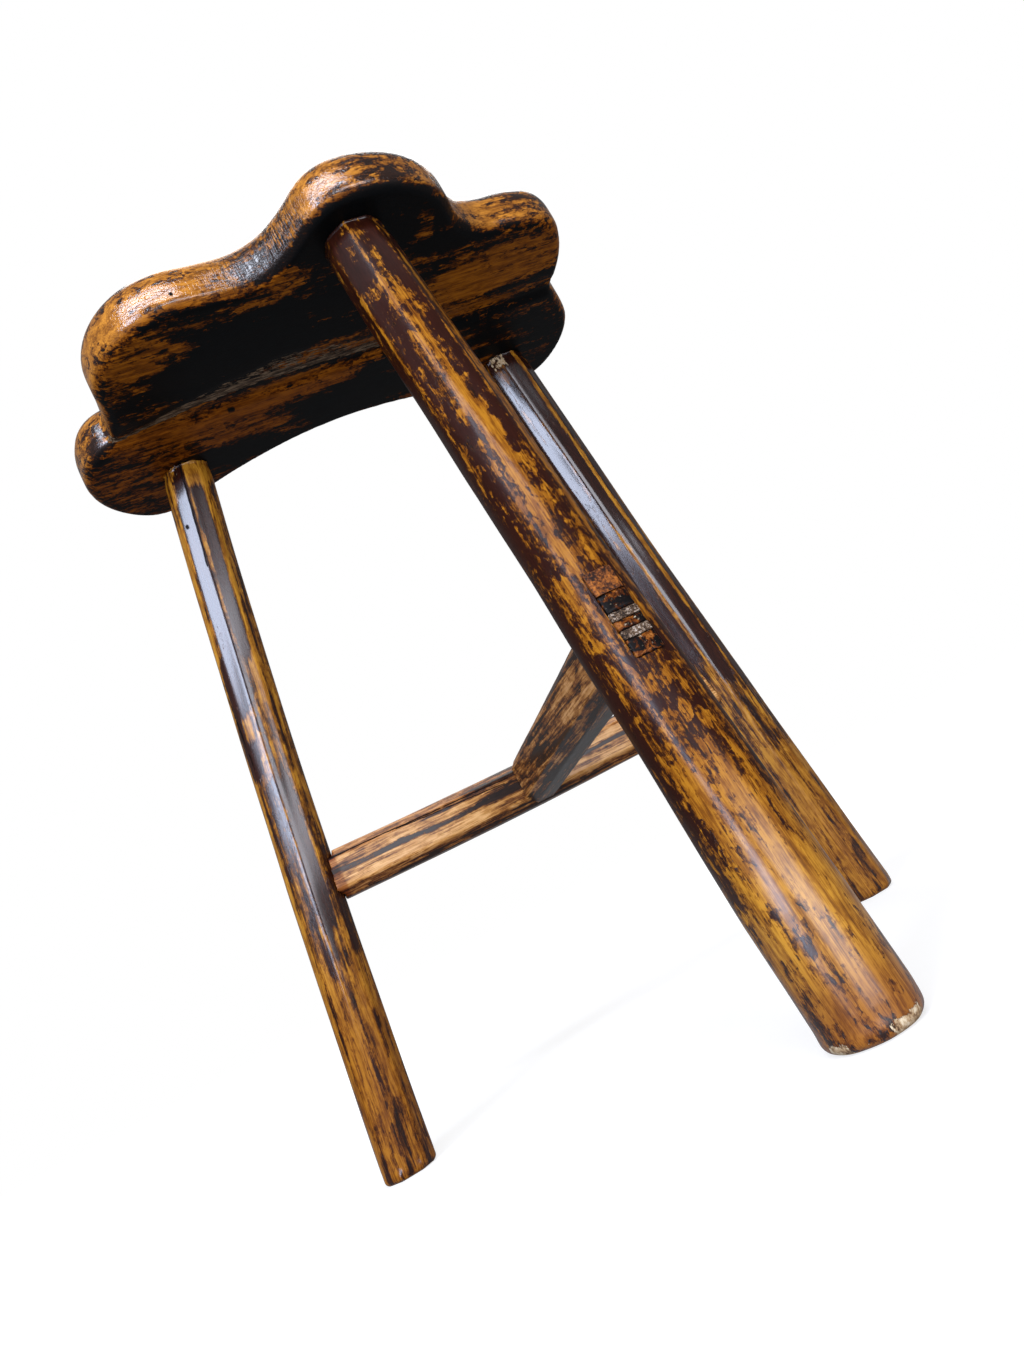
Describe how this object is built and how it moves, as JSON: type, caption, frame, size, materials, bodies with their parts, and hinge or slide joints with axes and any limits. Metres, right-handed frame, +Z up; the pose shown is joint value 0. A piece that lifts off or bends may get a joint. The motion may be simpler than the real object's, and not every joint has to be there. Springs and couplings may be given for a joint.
{
  "type": "tripod stool",
  "caption": "Stool with a thick lobed slab seat on splayed tripod legs, tied by a T-shaped stretcher whose end is wedged through the front leg.",
  "frame": {"origin": "on the floor, under the middle of the bounding box", "axes": "+Z up, front leg towards -Y, +X to the right seen from the front"},
  "size_m": [0.3934, 0.3162, 0.5074],
  "materials": {
    "seat_wood": "old dark lacquer worn through to amber wood, waxed",
    "leg_wood": "old dark lacquer worn through to amber wood, waxed",
    "stretcher_wood": "amber wood with dark streaks, waxed",
    "wedge_wood": "rough end grain"
  },
  "bodies": {
    "root": {"seat": "seat_wood", "front_leg": "leg_wood", "rear_left_leg": "leg_wood", "rear_right_leg": "leg_wood", "rear_stretcher": "stretcher_wood", "centre_stretcher": "stretcher_wood", "upper_tenon_wedge": "wedge_wood", "lower_tenon_wedge": "wedge_wood", "tenon_packing": "wedge_wood", "front_leg_wedge": "wedge_wood", "rear_left_leg_wedge": "wedge_wood", "rear_right_leg_wedge": "wedge_wood"}
  },
  "joints": []
}
